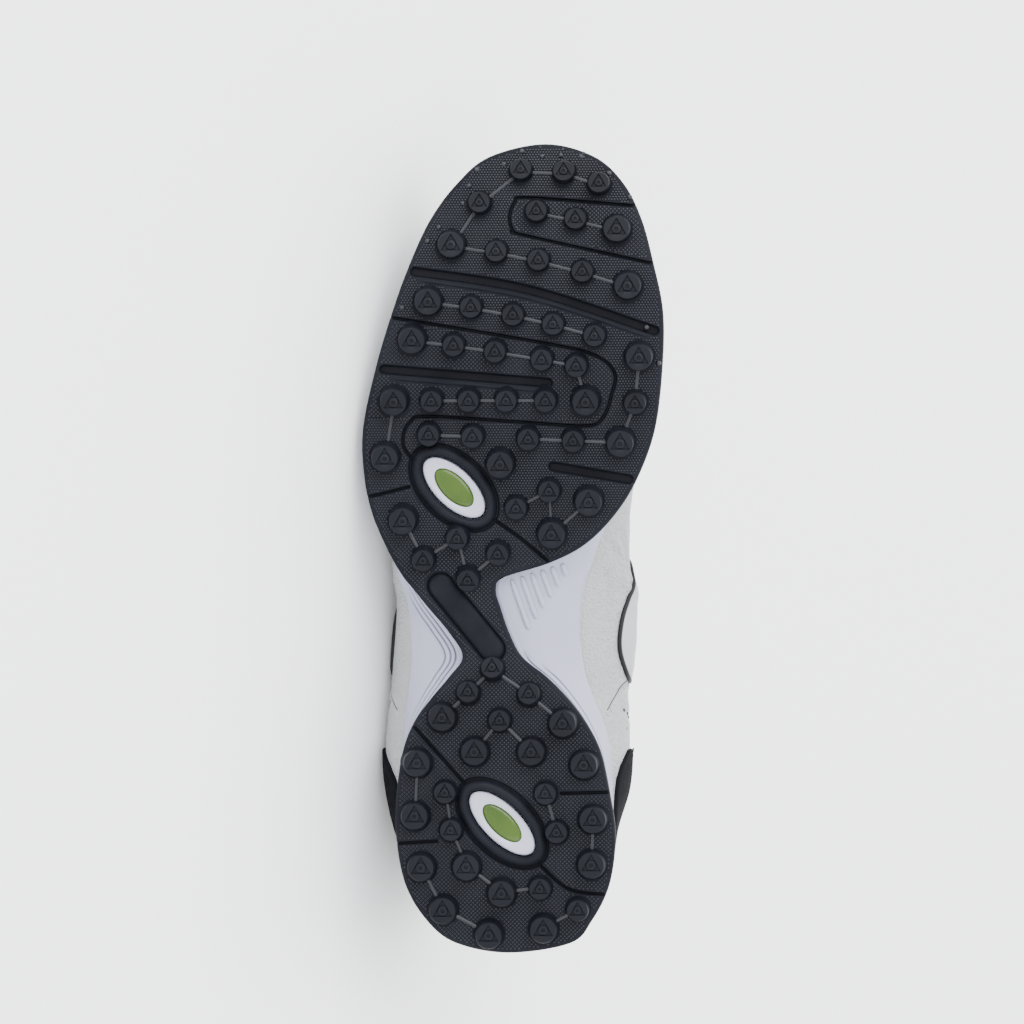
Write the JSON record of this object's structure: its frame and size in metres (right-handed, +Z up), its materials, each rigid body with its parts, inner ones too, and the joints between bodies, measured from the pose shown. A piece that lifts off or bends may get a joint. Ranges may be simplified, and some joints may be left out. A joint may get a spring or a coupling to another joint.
{
  "type": "turf shoe",
  "caption": "Low turf shoe for the right foot on its side: studded rubber outsole with a narrow waist, foam midsole, hollow leather upper, heel counter and lacing.",
  "frame": {"origin": "centre of the bounding box's base: the floor under the shoe, which lies on its lateral side", "axes": "+X runs from toe to heel, -Y is the side that the sole faces, +Z is up from the floor through the medial side"},
  "size_m": [0.2906, 0.1238, 0.0979],
  "materials": {
    "outsole_rubber": "satin",
    "midsole_foam": "matte",
    "window_gel": "gloss",
    "upper_leather": "satin",
    "counter_suede": "matte",
    "lining_textile": "matte"
  },
  "bodies": {
    "root": {"outsole": "outsole_rubber", "midsole": "midsole_foam", "forefoot_window_ring": "midsole_foam", "forefoot_window_gel": "window_gel", "heel_window_ring": "midsole_foam", "heel_window_gel": "window_gel", "upper": "upper_leather", "heel_counter": "counter_suede", "eyestay": "upper_leather", "saddle_lateral": "upper_leather", "saddle_medial": "upper_leather", "tongue": "lining_textile", "insole": "lining_textile", "lace_cross_1": "lining_textile", "lace_cross_2": "lining_textile", "lace_cross_3": "lining_textile", "lace_cross_4": "lining_textile"}
  },
  "joints": []
}
